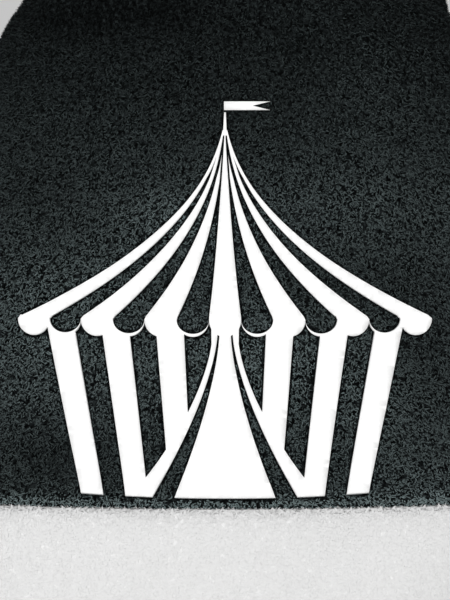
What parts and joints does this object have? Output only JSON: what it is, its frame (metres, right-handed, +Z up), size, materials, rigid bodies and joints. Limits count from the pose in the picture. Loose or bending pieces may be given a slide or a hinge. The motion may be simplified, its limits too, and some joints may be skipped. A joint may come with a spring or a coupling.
{
  "type": "plush christmas hat",
  "caption": "Dark plush Christmas hat with a flopped tip, a wide white cuff, a pompom and a striped big top printed in white on its front.",
  "frame": {"origin": "centre of the head opening, in the plane of the cuff's rim", "axes": "+Z up through the crown, -Y out of the printed front, +X towards the side the tip flops to"},
  "size_m": [0.3054, 0.1538, 0.3149],
  "materials": {
    "charcoal_plush": "short plush pile",
    "white_plush": "long plush pile",
    "cuff_backing": "knitted backing"
  },
  "bodies": {
    "root": {"crown_front": "charcoal_plush", "crown_back": "charcoal_plush", "cuff_front": "white_plush", "cuff_back": "white_plush", "cuff_lining": "cuff_backing", "tip_gather": "charcoal_plush", "pompom": "white_plush"}
  },
  "joints": []
}
